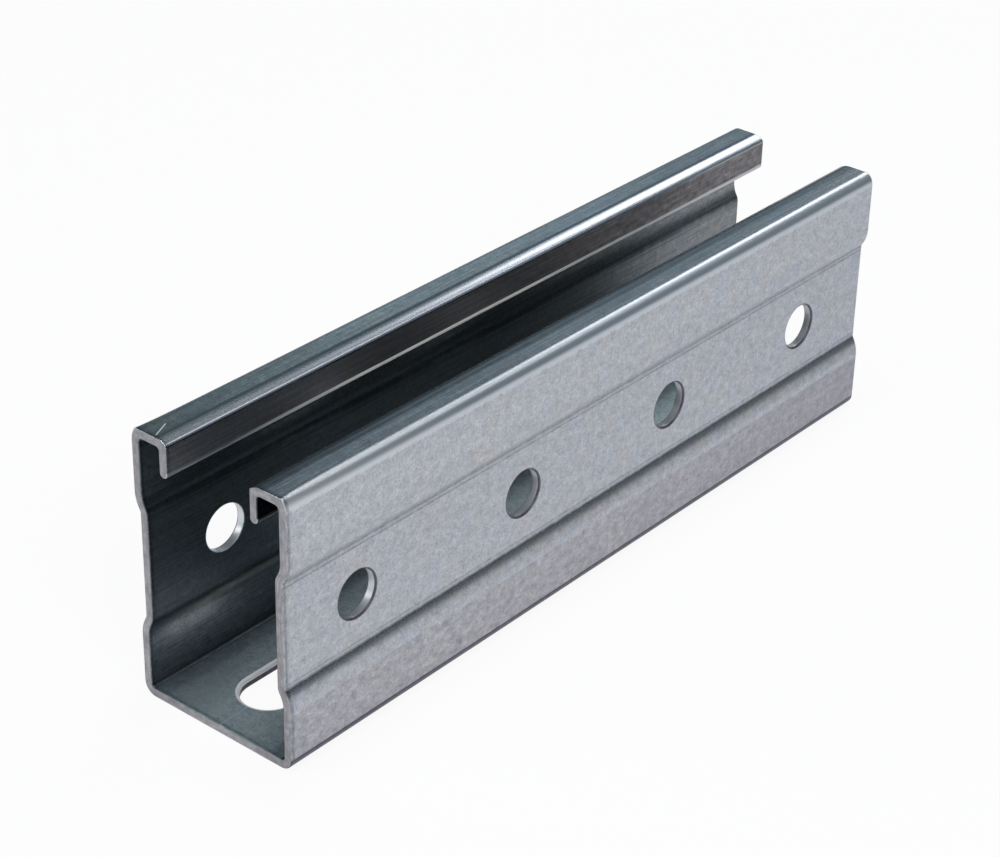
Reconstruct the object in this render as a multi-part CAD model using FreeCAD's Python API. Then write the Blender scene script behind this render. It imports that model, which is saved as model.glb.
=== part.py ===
# Strut channel: one length of roll-formed sheet metal with its open slot upwards.
# Sizes in millimetres. X runs along the length, Y across the section, Z is up.
# The origin is on the underside of the base, half way along and across.
import FreeCAD, Part
import math
import os

# Overall section and length
section_width = 41.0
section_height = 62.0
channel_length = 195.0
sheet_thickness = 2.0

# Open slot between the lips, and how far the lips turn down
slot_opening = 22.0
lip_depth = 8.4

# Bend radii, measured on the hollow side of each bend
base_bend_radius = 1.0
top_bend_radius = 1.0
lip_bend_radius = 0.8

# Band pressed inwards along the middle of each side wall, its flat face between the
# creases, the crease radius measured outside and the shoulder radius inside
band_depth = 1.4
band_width = 24.4
band_centre_height = 31.0
crease_radius = 0.8
shoulder_radius = 6.0

# Round holes through both side walls, one every pitch from the near end on
hole_diameter = 10.5
hole_pitch = 50.0
hole_end_distance = 20.3
hole_height = 31.0

# Long slots in the base, one every pitch from the near end on
base_slot_width = 12.1
base_slot_length = 27.8
base_slot_pitch = 50.0
base_slot_end_distance = 22.5

# Rounding left where the punch went in
hole_edge_radius = 0.4
slot_edge_radius = 0.8

# How far a cutter runs past the metal
cutter_reach = 5.0

# Stretches shorter than this are left out of the section
shortest_edge = 0.001


# Corners of the bent sheet
def half_corners():
    """Corners of the outer face on the +Y side, from the base to the lip end.

    Each is y, z and the radius on the outer face. At each edge of the band the crease
    runs straight on into the shoulder, two arcs that together step over the band's depth.
    """
    wall = section_width / 2
    band = wall - band_depth
    shoulder = shoulder_radius + sheet_thickness
    tilt = math.acos(1 - band_depth / (shoulder + crease_radius))
    step = band_depth / math.tan(tilt)
    low = band_centre_height - band_width / 2
    high = band_centre_height + band_width / 2
    lip = slot_opening / 2
    lip_end = section_height - lip_depth + sheet_thickness / 2
    return [
        (wall, 0, base_bend_radius + sheet_thickness),
        (wall, low - step, shoulder),
        (band, low, crease_radius),
        (band, high, crease_radius),
        (wall, high + step, shoulder),
        (wall, section_height, top_bend_radius + sheet_thickness),
        (lip, section_height, lip_bend_radius + sheet_thickness),
        (lip, lip_end, 0),
    ]


def outer_corners():
    """Both halves of the outer face, from the -Y lip end round to the +Y lip end."""
    half = half_corners()
    mirrored = [(-y, z, radius) for y, z, radius in reversed(half)]
    return mirrored + half


def unit(a, b):
    """Direction from corner a to corner b."""
    length = math.hypot(b[0] - a[0], b[1] - a[1])
    return (b[0] - a[0]) / length, (b[1] - a[1]) / length


def inner_corners(corners):
    """The same corners moved one sheet thickness to the inside of the section.

    The path runs anticlockwise seen from +X, so the inside is on its left.
    """
    moved = []
    last = len(corners) - 1
    for i, (y, z, radius) in enumerate(corners):
        before = unit(corners[i - 1], corners[i]) if i > 0 else unit(corners[0], corners[1])
        after = unit(corners[i], corners[i + 1]) if i < last else before
        share = 1 + before[0] * after[0] + before[1] * after[1]
        step_y = -(before[1] + after[1]) / share * sheet_thickness
        step_z = (before[0] + after[0]) / share * sheet_thickness
        turn = before[0] * after[1] - before[1] * after[0]
        if i in (0, last):
            inner_radius = 0
        elif turn > 0:
            inner_radius = radius - sheet_thickness
        else:
            inner_radius = radius + sheet_thickness
        moved.append((y + step_y, z + step_z, inner_radius))
    return moved


# Outline of the section
def point(y, z):
    """A point of the section on the plane x = 0."""
    return FreeCAD.Vector(0, y, z)


def bend_arc(before, corner, after):
    """Arc that rounds one corner, tangent to both sides."""
    y, z, radius = corner
    back = unit(corner, before)
    ahead = unit(corner, after)
    half_angle = math.acos(back[0] * ahead[0] + back[1] * ahead[1]) / 2
    reach = radius / math.tan(half_angle)
    middle_y, middle_z = back[0] + ahead[0], back[1] + ahead[1]
    middle = math.hypot(middle_y, middle_z)
    depth = radius / math.sin(half_angle) - radius
    start = point(y + back[0] * reach, z + back[1] * reach)
    crown = point(y + middle_y / middle * depth, z + middle_z / middle * depth)
    end = point(y + ahead[0] * reach, z + ahead[1] * reach)
    return Part.Arc(start, crown, end).toShape()


def face_edges(corners):
    """Straight stretches and bends of one face of the sheet, in order."""
    edges = []
    here = point(corners[0][0], corners[0][1])
    for i in range(1, len(corners) - 1):
        arc = bend_arc(corners[i - 1], corners[i], corners[i + 1])
        start = arc.Vertexes[0].Point
        if here.distanceToPoint(start) > shortest_edge:
            edges.append(Part.makeLine(here, start))
        edges.append(arc)
        here = arc.Vertexes[-1].Point
    edges.append(Part.makeLine(here, point(corners[-1][0], corners[-1][1])))
    return edges


def lip_end_arc(outer, inner):
    """Half circle that closes the sheet at the foot of a lip."""
    middle = point((outer[0] + inner[0]) / 2, outer[1] - sheet_thickness / 2)
    return Part.Arc(point(outer[0], outer[1]), middle, point(inner[0], inner[1])).toShape()


def bent_sheet():
    """The whole section drawn out along the length."""
    outer = outer_corners()
    inner = inner_corners(outer)
    edges = face_edges(outer) + face_edges(inner)
    edges.append(lip_end_arc(outer[0], inner[0]))
    edges.append(lip_end_arc(outer[-1], inner[-1]))
    outline = Part.Wire(Part.__sortEdges__(edges))
    section = Part.Face(outline)
    section.translate(FreeCAD.Vector(-channel_length / 2, 0, 0))
    return section.extrude(FreeCAD.Vector(channel_length, 0, 0))


# Cutters
def cutter_profile(radius, edge_radius, depth):
    """Half profile of a punch standing on Z, its entry face at z = 0.

    Below the entry face it is straight; at the face it opens out by the rounded edge.
    """
    mid = edge_radius * (1 - math.sqrt(0.5))
    corners = [
        FreeCAD.Vector(0, 0, -depth),
        FreeCAD.Vector(radius, 0, -depth),
        FreeCAD.Vector(radius, 0, -edge_radius),
        FreeCAD.Vector(radius + edge_radius, 0, 0),
        FreeCAD.Vector(radius + edge_radius, 0, cutter_reach),
        FreeCAD.Vector(0, 0, cutter_reach),
    ]
    rounding = Part.Arc(corners[2], FreeCAD.Vector(radius + mid, 0, -mid), corners[3])
    edges = [
        Part.makeLine(corners[0], corners[1]),
        Part.makeLine(corners[1], corners[2]),
        rounding.toShape(),
        Part.makeLine(corners[3], corners[4]),
        Part.makeLine(corners[4], corners[5]),
        Part.makeLine(corners[5], corners[0]),
    ]
    return Part.Face(Part.Wire(edges))


def round_cutter(radius, edge_radius, depth):
    """Punch for one round hole."""
    profile = cutter_profile(radius, edge_radius, depth)
    return profile.revolve(FreeCAD.Vector(0, 0, 0), FreeCAD.Vector(0, 0, 1), 360)


def slot_cutter(width, length, edge_radius, depth):
    """Punch for one long slot, its length along X."""
    run = length - width
    end = round_cutter(width / 2, edge_radius, depth)
    start = end.copy()
    start.translate(FreeCAD.Vector(-run / 2, 0, 0))
    end.translate(FreeCAD.Vector(run / 2, 0, 0))
    side = cutter_profile(width / 2, edge_radius, depth)
    side.rotate(FreeCAD.Vector(0, 0, 0), FreeCAD.Vector(0, 0, 1), 90)
    side.translate(FreeCAD.Vector(-run / 2, 0, 0))
    left = side.extrude(FreeCAD.Vector(run, 0, 0))
    right = left.mirror(FreeCAD.Vector(0, 0, 0), FreeCAD.Vector(0, 1, 0))
    return start.multiFuse([end, left, right])


def places(end_distance, pitch, opening_length):
    """Places along X, one every pitch for as long as a whole opening fits."""
    room = channel_length - end_distance - opening_length / 2
    count = int(room // pitch) + 1
    return [-channel_length / 2 + end_distance + i * pitch for i in range(count)]


def side_hole_cutters():
    """Punches for the round holes, each wall punched from outside."""
    face = section_width / 2 - band_depth
    depth = sheet_thickness + cutter_reach
    cutters = []
    for x in places(hole_end_distance, hole_pitch, hole_diameter):
        for side in (1, -1):
            cutter = round_cutter(hole_diameter / 2, hole_edge_radius, depth)
            cutter.rotate(FreeCAD.Vector(0, 0, 0), FreeCAD.Vector(1, 0, 0), -90 * side)
            cutter.translate(FreeCAD.Vector(x, side * face, hole_height))
            cutters.append(cutter)
    return cutters


def base_slot_cutters():
    """Punches for the long slots, entering from inside the channel."""
    depth = sheet_thickness + cutter_reach
    cutters = []
    for x in places(base_slot_end_distance, base_slot_pitch, base_slot_length):
        cutter = slot_cutter(base_slot_width, base_slot_length, slot_edge_radius, depth)
        cutter.translate(FreeCAD.Vector(x, 0, sheet_thickness))
        cutters.append(cutter)
    return cutters


# Finished part
def strut_channel():
    """Bent sheet with all its holes."""
    return bent_sheet().cut(side_hole_cutters() + base_slot_cutters())


os.makedirs("parts", exist_ok=True)
strut_channel().exportStep("parts/strut_channel.step")
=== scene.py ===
"""Strut channel: a length of roll-formed zinc-coated sheet with its open slot upwards.

X runs along the length, Y across the section, Z is up. Sizes are in metres.
"""
import math
from typing import NamedTuple

import bmesh
import bpy
import numpy as np
from mathutils import Matrix, Vector


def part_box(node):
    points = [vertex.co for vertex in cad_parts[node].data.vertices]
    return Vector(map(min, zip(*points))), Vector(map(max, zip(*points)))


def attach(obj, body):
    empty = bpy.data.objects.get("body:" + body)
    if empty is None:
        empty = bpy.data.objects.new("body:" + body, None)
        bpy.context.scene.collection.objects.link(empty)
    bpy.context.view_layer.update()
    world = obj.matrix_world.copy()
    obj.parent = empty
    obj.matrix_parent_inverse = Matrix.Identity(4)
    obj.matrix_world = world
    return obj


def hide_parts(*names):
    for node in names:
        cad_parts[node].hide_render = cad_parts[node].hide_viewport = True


bl_info = {
    "name": "Strut Channel",
    "version": (1, 0, 0),
    "blender": (4, 5, 0),
    "location": "3D View > Sidebar > Strut Channel",
    "description": "Makes a zinc-coated strut channel and the studio it stands in",
    "category": "Add Mesh",
}

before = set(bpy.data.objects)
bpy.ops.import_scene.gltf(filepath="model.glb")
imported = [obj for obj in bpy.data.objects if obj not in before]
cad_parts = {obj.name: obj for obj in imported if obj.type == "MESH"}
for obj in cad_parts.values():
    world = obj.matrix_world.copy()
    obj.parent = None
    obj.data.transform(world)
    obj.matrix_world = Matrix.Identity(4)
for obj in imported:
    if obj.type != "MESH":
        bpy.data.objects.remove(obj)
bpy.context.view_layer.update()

NODE = "strut_channel"
MM = 0.001

LOWEST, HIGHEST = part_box(NODE)
CHANNEL_LENGTH = HIGHEST[0] - LOWEST[0]
SECTION_WIDTH = HIGHEST[1] - LOWEST[1]
SECTION_HEIGHT = HIGHEST[2] - LOWEST[2]


# Sizes and colours that a user would change
def length(name, description, default, low=0.0):
    """A length property in metres."""
    return bpy.props.FloatProperty(
        name=name, description=description, default=default, min=low, unit="LENGTH", precision=5
    )


def colour(name, description, default):
    """A colour property."""
    return bpy.props.FloatVectorProperty(
        name=name, description=description, default=default, subtype="COLOR", min=0.0, max=1.0
    )


class ChannelSizes(bpy.types.PropertyGroup):
    """Sizes of the bent sheet and its openings."""

    channel_length: length("Length", "Length of the channel", CHANNEL_LENGTH)
    section_width: length("Width", "Width over both walls", SECTION_WIDTH)
    section_height: length("Height", "Height over the flanges", SECTION_HEIGHT)
    sheet_thickness: length("Sheet", "Thickness of the sheet", 2.0 * MM)
    slot_opening: length("Slot opening", "Clear width between the lips", 22.0 * MM)
    lip_depth: length("Lip depth", "How far the lips turn down", 8.4 * MM)
    base_bend_radius: length("Base bend", "Inside radius of the bends at the base", 1.0 * MM)
    top_bend_radius: length("Top bend", "Inside radius of the bends at the flanges", 1.0 * MM)
    top_sweep_radius: length("Top sweep", "Outside radius of the slow sweep up to a flange", 3.5 * MM)
    top_corner_radius: length("Top corner", "Outside radius of the tight corner at a flange", 2.2 * MM)
    cut_sweep_radius: length("Cut sweep", "The same sweep where the near end was cut", 4.8 * MM)
    cut_corner_radius: length("Cut corner", "The same corner where the near end was cut", 0.9 * MM)
    cut_reach: length("Cut reach", "How far the cut's pinch runs in from the near end", 6.0 * MM)
    lip_bend_radius: length("Lip bend", "Inside radius of the bends at the lips", 0.8 * MM)
    lip_corner_radius: length("Lip corner", "Outside radius of the tight corner at a lip", 0.9 * MM)
    lip_facet: length("Lip facet", "Width of the flat beside a lip's tight corner", 0.4 * MM)
    lip_sweep_radius: length("Lip sweep", "Outside radius of the slow sweep from a flange to that flat", 4.4 * MM)
    band_depth: length("Band depth", "How far the side band is pressed in", 1.4 * MM)
    band_width: length("Band width", "Width of the band between its creases", 24.4 * MM)
    band_height: length("Band height", "Height of the middle of the band", 31.0 * MM)
    crease_radius: length("Crease", "Outside radius of the creases beside the band", 0.8 * MM)
    shoulder_radius: length("Shoulder", "Inside radius where the wall swings in to the crease", 6.0 * MM)
    hole_diameter: length("Side hole", "Diameter of the side holes", 10.5 * MM)
    hole_pitch: length("Side hole pitch", "Distance between side holes", 50.0 * MM)
    hole_end: length("First side hole", "From the near end to the first side hole", 20.3 * MM)
    slot_width: length("Base slot width", "Width of the slots in the base", 12.1 * MM)
    slot_length: length("Base slot length", "Length of the slots in the base", 27.8 * MM)
    slot_pitch: length("Base slot pitch", "Distance between base slots", 50.0 * MM)
    slot_end: length("First base slot", "From the near end to the first base slot", 22.5 * MM)
    hole_rounding: length("Hole rounding", "Rounding where the punch went into a side hole", 0.4 * MM)
    slot_rounding: length("Slot rounding", "Rounding where the punch went into a base slot", 0.8 * MM)
    cut_rounding: length("Cut rounding", "Rounding of the edges at the sawn ends", 0.2 * MM)
    waviness: length("Waviness", "Height of the long waves that the rolls leave", 0.02 * MM)


class ZincColours(bpy.types.PropertyGroup):
    """Colours of the zinc coat and the bare cuts, and of the painted light and shade on them."""

    pale_zinc: colour("Pale zinc", "Paler patches of the coat", (0.475, 0.50, 0.56))
    warm_zinc: colour("Warm zinc", "Warmer patches of the coat", (0.46, 0.465, 0.49))
    # Painted shade: the lower walls darker and warmer, like the shaded floor beside the channel that they mirror
    lower_wall_shade: colour("Lower wall shade", "Warm grey of the lower walls", (0.42, 0.41, 0.44))
    zinc_pits: colour("Pits", "Dark pits in the coat", (0.18, 0.18, 0.22))
    bend_zinc: colour("Bends", "Coat drawn bright on the bends", (0.58, 0.62, 0.68))
    # Pale zinc of real rubbing and scratches, also used for painted highlights on the bends, the lips and inside
    rubbed_and_highlight_zinc: colour("Rubbed zinc and highlights", "Line rubbed bright where the top bend begins", (0.75, 0.76, 0.80))
    # Painted shade in the creases and by the foot; also real dirt by the near end
    shade_and_grime: colour("Shade and grime", "Dark lines in the creases", (0.10, 0.11, 0.14))
    lip_stain: colour("Lip stain", "Brown-grey stain on the faces of the lips", (0.20, 0.18, 0.18))
    # Darker coat inside, partly the coat's own tone and partly painted shade
    inner_tone_and_shade: colour("Inside tone and shade", "Tone of the coat on the walls inside", (0.30, 0.35, 0.36))
    base_tone: colour("Base tone", "Tone of the dull coat on the base inside", (0.72, 0.86, 0.86))
    # Painted reflection: an olive band of light by the low crease inside the left wall
    olive_reflection: colour("Reflection", "Olive bloom in a crease inside, near the end", (0.42, 0.46, 0.38))
    cut_steel: colour("Cut ends", "Bare metal of the sawn ends", (0.45, 0.44, 0.47))
    punched_steel: colour("Punched walls", "Bare metal of the punched walls", (0.72, 0.74, 0.78))
    # Bruised coat where the punch went in, painted dark as shade along the rolled edge
    shaded_rolled_edge: colour("Rolled edges", "Bruised coat where the punch went in", (0.14, 0.13, 0.16))
    # Painted shade: the slots' walls dark like the shadow under them
    shaded_slot_steel: colour("Slot walls", "Darkened metal of the slots' walls", (0.10, 0.10, 0.11))


class StudioSettings(bpy.types.PropertyGroup):
    """Floor, light and camera."""

    floor_colour: colour("Floor", "Colour of the floor", (0.88, 0.88, 0.88))
    room_colour: colour("Room", "Dim colour of the room round the lamps", (0.08, 0.105, 0.115))
    strip_strength: bpy.props.FloatProperty(
        name="Strip lamp", description="Brightness of the long lamp beyond the far end", default=2.2, min=0.0
    )
    top_strength: bpy.props.FloatProperty(
        name="Top lamp", description="Brightness of the lamp overhead", default=12.0, min=0.0
    )
    back_strength: bpy.props.FloatProperty(
        name="Back lamp", description="Brightness of the lamp behind on the left", default=2.1, min=0.0
    )
    front_strength: bpy.props.FloatProperty(
        name="Front lamp", description="Brightness of the lamp in front", default=5.0, min=0.0
    )
    panel_strength: bpy.props.FloatProperty(
        name="Wall panel", description="Brightness of the dim panel behind on the right", default=0.3, min=0.0
    )


# Section of the channel
BEND_STEPS = 12
SHOULDER_STEPS = 8
CREASE_STEPS = 4
BENDS = ("base", "low_shoulder", "low_crease", "high_crease", "high_shoulder", "top", "lip")
TOP_SWEEP = math.radians(32.0)
LIP_FACET = math.radians(62.0)
TURN_STEP = math.radians(7.0)
SHALLOW_TURN = 1.0
FLAT_STEP = 2.4 * MM
EDGE_STEP = 0.3 * MM
LEAST_RUN = 0.1 * MM
NO_RUN = 0.001 * MM
SQUARE = 0.99


def section_corners(sizes):
    """Corners of the outer face, from the -Y lip end round to the +Y lip end, as y, z, radius."""
    sheet = sizes.sheet_thickness
    wall = sizes.section_width / 2
    band = wall - sizes.band_depth
    low = sizes.band_height - sizes.band_width / 2
    high = sizes.band_height + sizes.band_width / 2
    lip = sizes.slot_opening / 2
    top = sizes.section_height
    crease = sizes.crease_radius
    shoulder = sizes.shoulder_radius + sheet
    tilt = math.acos(1 - sizes.band_depth / (shoulder + crease))
    step = sizes.band_depth / math.tan(tilt)
    half = [
        (wall, 0.0, sizes.base_bend_radius + sheet),
        (wall, low - step, shoulder),
        (band, low, crease),
        (band, high, crease),
        (wall, high + step, shoulder),
        (wall, top, sizes.top_bend_radius + sheet),
        (lip, top, sizes.lip_bend_radius + sheet),
        (lip, top - sizes.lip_depth + sheet / 2, 0.0),
    ]
    return [(-y, z, radius) for y, z, radius in reversed(half)] + half


def split(start, end, step):
    """Places after start up to end, no further apart than step."""
    count = max(1, math.ceil((end - start) / step - 1e-6))
    return [start + (end - start) * i / count for i in range(1, count + 1)]


def pressed_bend(sheet, inside, turns):
    """Stations round a bend pressed by the rolls, up its upright side and over to its level one.

    Each turn is an outside radius, the angle where it ends and a straight run after it. Each
    station is the distance so far, the place on the outer face, its outward direction and the
    place on the inner face, all as inwards from the upright side and down from the level one.
    Inside, the bend is one arc. The distances where the turns begin and end come with them.
    """
    down, angle = 0.0, 0.0
    for radius, end, straight in turns:
        down += radius * (math.sin(end) - math.sin(angle)) + straight * math.cos(end)
        angle = end
    reach = max(down + LEAST_RUN, sheet + inside)
    lead = reach - down
    rows = [(0.0, 0.0, reach, 0.0), (lead, 0.0, down, 0.0)]
    distance, inward, angle = lead, 0.0, 0.0
    for radius, end, straight in turns:
        steps = max(3, round((end - angle) / TURN_STEP))
        for i in range(1, steps + 1):
            before = angle + (end - angle) * (i - 1) / steps
            after = angle + (end - angle) * i / steps
            inward += radius * (math.cos(before) - math.cos(after))
            down -= radius * (math.sin(after) - math.sin(before))
            distance += radius * (after - before)
            rows.append((distance, inward, down, after))
        if straight > 0:
            inward += straight * math.sin(end)
            down -= straight * math.cos(end)
            distance += straight
            rows.append((distance, inward, down, end))
        angle = end
    turned = (lead, distance)
    rest = max(sheet + inside - inward, LEAST_RUN)
    rows.append((distance + rest, inward + rest, 0.0, math.pi / 2))
    total = rows[-1][0]
    upright = reach - sheet - inside
    inner_total = upright + inside * math.pi / 2
    found = []
    for distance, inward, down, angle in rows:
        inner = inner_total * distance / total
        if inner < upright:
            place = (sheet, reach - inner)
        else:
            turn = (inner - upright) / inside
            place = (sheet + inside * (1 - math.cos(turn)), sheet + inside * (1 - math.sin(turn)))
        found.append((distance, (inward, down), (math.cos(angle), math.sin(angle)), place))
    return found, turned


class Section:
    """Stations along the outer face of the section, and places on it by distance."""

    def __init__(self, sizes, sweep, corner_radius):
        self.sheet = sizes.sheet_thickness
        top_turns = ((sweep, TOP_SWEEP, 0.0), (corner_radius, math.pi / 2, 0.0))
        lip_turns = (
            (sizes.lip_corner_radius, LIP_FACET, sizes.lip_facet),
            (sizes.lip_sweep_radius, math.pi / 2, 0.0),
        )
        pressed = {
            "top": pressed_bend(self.sheet, sizes.top_bend_radius, top_turns),
            "lip": pressed_bend(self.sheet, sizes.lip_bend_radius, lip_turns),
        }
        self.top_inward = pressed["top"][0][-2][1][0]
        corners = [(Vector((y, z)), radius) for y, z, radius in section_corners(sizes)]
        here = corners[0][0].copy()
        along = (corners[1][0] - here).normalized()
        self.distance = [0.0]
        self.points = [here]
        self.outward = [Vector((along.y, -along.x))]
        self.inner = [here - self.outward[0] * self.sheet]
        self.flats = []
        spans = []
        names = (*reversed(BENDS), *BENDS)
        for name, (corner, radius), (following, _) in zip(names, corners[1:], corners[2:]):
            ahead = (following - corner).normalized()
            if name in pressed:
                rows, turned = pressed[name]
                side = 1 if (corner.x > 0) == (name == "top") else -1
                stop = corner - along * (rows[0][1][1] if side > 0 else rows[-1][1][0])
                self.add_flat(here, stop, along, [])
                begin, total = self.distance[-1], rows[-1][0]
                here = self.add_pressed_bend(rows, corner, side)
                if side < 0:
                    turned = (total - turned[1], total - turned[0])
                spans.append((begin + turned[0], begin + turned[1]))
            else:
                angle = along.angle(ahead)
                stop = corner - along * (radius * math.tan(angle / 2))
                self.add_flat(here, stop, along, self.marks(sizes, here, stop, along))
                begin = self.distance[-1]
                here = self.add_bend(stop, along, ahead, radius, angle)
                spans.append((begin, self.distance[-1]))
            along = ahead
        self.add_flat(here, corners[-1][0], along, [])
        self.middle = self.distance[-1] / 2
        self.arms = {}
        for name, (begin, end) in zip(BENDS, spans[len(BENDS):]):
            self.arms[name] = (begin - self.middle, end - self.middle)

    def marks(self, sizes, start, stop, along):
        """Edges of the opening patches that lie on this flat, as distances from its start."""
        if abs(along.x) > SQUARE and start.y < sizes.sheet_thickness and stop.y < sizes.sheet_thickness:
            half = sizes.slot_width / 2 + SLOT_MARGIN
            middle = (stop - start).length / 2
            return [(middle - half, middle + half, SLOT_PATCH_STEPS, "base")]
        if abs(along.y) > SQUARE and abs(start.x) < sizes.section_width / 2 - sizes.band_depth / 2:
            low, high = sorted((start.y, stop.y))
            if low < sizes.band_height < high:
                half = sizes.hole_diameter / 2 + HOLE_MARGIN
                middle = abs(sizes.band_height - start.y)
                return [(middle - half, middle + half, HOLE_PATCH_STEPS, "side")]
        return []

    def put(self, point, outward, distance, inner=None):
        """One more station; the inner face lies one sheet behind it unless told."""
        self.points.append(point)
        self.outward.append(outward)
        self.distance.append(distance)
        self.inner.append(point - outward * self.sheet if inner is None else inner)

    def add_flat(self, start, stop, along, marks):
        """Stations along one flat stretch, none where one bend runs on into the next."""
        run = (stop - start).length
        if run < NO_RUN:
            return
        begin = self.distance[-1]
        outward = Vector((along.y, -along.x))
        places = []
        here = 0.0
        if run > 4 * EDGE_STEP:
            places.append(EDGE_STEP)
            here = EDGE_STEP
        for low, high, steps, kind in marks:
            places += split(here, low, FLAT_STEP)
            places += [low + (high - low) * i / steps for i in range(1, steps + 1)]
            self.flats.append((begin + low, begin + high, kind))
            here = high
        if run > 4 * EDGE_STEP:
            places += split(here, run - EDGE_STEP, FLAT_STEP)
        places.append(run)
        for place in places:
            self.put(start + along * place, outward, begin + place)

    def add_bend(self, start, along, ahead, radius, angle):
        """Stations round one bend; gives back where it ends."""
        begin = self.distance[-1]
        turn = 1.0 if along.x * ahead.y - along.y * ahead.x > 0 else -1.0
        inward = Vector((-along.y, along.x)) * turn
        centre = start + inward * radius
        steps = BEND_STEPS
        if angle < SHALLOW_TURN:
            steps = SHOULDER_STEPS if radius > 2 * self.sheet else CREASE_STEPS
        for i in range(1, steps + 1):
            share = i / steps
            spoke = Matrix.Rotation(turn * angle * share, 2) @ (-inward)
            self.put(centre + spoke * radius, spoke * turn, begin + radius * angle * share)
        return centre + spoke * radius

    def add_pressed_bend(self, rows, corner, side):
        """Stations round one pressed bend; gives back where it ends."""
        begin, total = self.distance[-1], rows[-1][0]
        for distance, place, facing, inner in rows[1:] if side > 0 else reversed(rows[:-1]):
            point = Vector((corner.x - side * place[0], corner.y - place[1]))
            behind = Vector((corner.x - side * inner[0], corner.y - inner[1]))
            so_far = distance if side > 0 else total - distance
            self.put(point, Vector((side * facing[0], facing[1])), begin + so_far, behind)
        return point

    def arrays(self):
        """Stations as arrays for interpolation."""
        distance = np.array(self.distance)
        points = np.array([tuple(p) for p in self.points])
        outward = np.array([tuple(n) for n in self.outward])
        inner = np.array([tuple(p) for p in self.inner])
        return distance, points, outward, inner


# Patches of mesh round the openings
HOLE_MARGIN = 3.5 * MM
SLOT_MARGIN = 3.5 * MM
HOLE_PATCH_STEPS = 12
SLOT_PATCH_STEPS = 12
PATCH_STEP = 1.5 * MM
PATCH_SHARES = (0.15, 0.4, 0.7)
ROUNDING_STEPS = 4
EDGE_HOLD = 0.35 * MM
BURNISHED_SHARE = 0.7
WALL_BULGE = 0.015 * MM
HOLE_BURR = 0.05 * MM
SLOT_BURR = 0.0
LIP_STEPS = 10

# Finish of each face
COAT, SAWN_END, PUNCHED_WALL, ROLLED_EDGE, SLOT_EDGE, SLOT_WALL = range(6)


class Opening(NamedTuple):
    """A punched opening: a round hole, or a slot when it has a straight run."""

    x: float
    half_run: float
    radius: float
    rounding: float
    reach: float
    kind: str


def places(sizes, first, pitch, opening):
    """Places along X, one every pitch for as long as a whole opening fits."""
    room = sizes.channel_length - first - opening / 2
    count = int(room // pitch) + 1
    return [-sizes.channel_length / 2 + first + i * pitch for i in range(count)]


def openings(sizes):
    """Every opening, with how far its patch reaches along X."""
    found = []
    radius = sizes.hole_diameter / 2
    for x in places(sizes, sizes.hole_end, sizes.hole_pitch, sizes.hole_diameter):
        found.append(Opening(x, 0.0, radius, sizes.hole_rounding, radius + HOLE_MARGIN, "side"))
    radius = sizes.slot_width / 2
    run = (sizes.slot_length - sizes.slot_width) / 2
    for x in places(sizes, sizes.slot_end, sizes.slot_pitch, sizes.slot_length):
        found.append(Opening(x, run, radius, sizes.slot_rounding, run + radius + SLOT_MARGIN, "base"))
    return found


# Long waves in the sheet as share, turns along and across, and shift
WAVES = ((1.0, 71.0, 23.0, 0.0), (0.7, 133.0, -61.0, 1.3), (0.4, 260.0, 170.0, 0.5))
WAVE_SETBACK = 1.05


def length_stations(sizes):
    """Places along X and how far the edges are rounded back there."""
    half = sizes.channel_length / 2
    rounding = sizes.cut_rounding
    marks = {-half + 2 * rounding, half - 2 * rounding}
    for opening in openings(sizes):
        marks |= {opening.x - opening.reach, opening.x + opening.reach}
    marks = sorted(marks)
    middle = [marks[0]]
    for a, b in zip(marks, marks[1:]):
        middle += split(a, b, PATCH_STEP)
    near = []
    for i in range(ROUNDING_STEPS + 1):
        angle = math.pi / 2 * (1 - i / ROUNDING_STEPS)
        back = rounding * (1 - math.cos(angle))
        near.append((-half + rounding * (1 - math.sin(angle)), back))
    far = [(-x, back) for x, back in reversed(near)]
    return near + [(x, 0.0) for x in middle] + far


def edge_loop(run, radius, across, along):
    """Outline of an opening as offset u, x with outward directions, from its -u -x corner.

    It has along segments on both long sides and across segments on both ends.
    """
    quarter = math.pi / 4 * radius
    side = 2 * quarter + 2 * run
    points, directions = [], []

    def put(centre, angle, facing):
        """A point at this angle round a centre on the middle line, for one half of the outline."""
        points.append((radius * math.sin(angle) * facing, (centre + radius * math.cos(angle)) * facing))
        directions.append((math.sin(angle) * facing, math.cos(angle) * facing))

    def put_side(distance, facing):
        """A point at this distance along the long side."""
        if distance < quarter:
            put(-run, -3 * math.pi / 4 + distance / radius, facing)
        elif distance > side - quarter:
            put(run, -math.pi / 2 + (distance - side + quarter) / radius, facing)
        else:
            put(-run + distance - quarter, -math.pi / 2, facing)

    for facing in (1, -1):
        for i in range(along):
            put_side(side * i / along, facing)
        for i in range(across):
            put(run, -math.pi / 4 + math.pi / 2 * i / across, facing)
    return np.array(points), np.array(directions)


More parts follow.
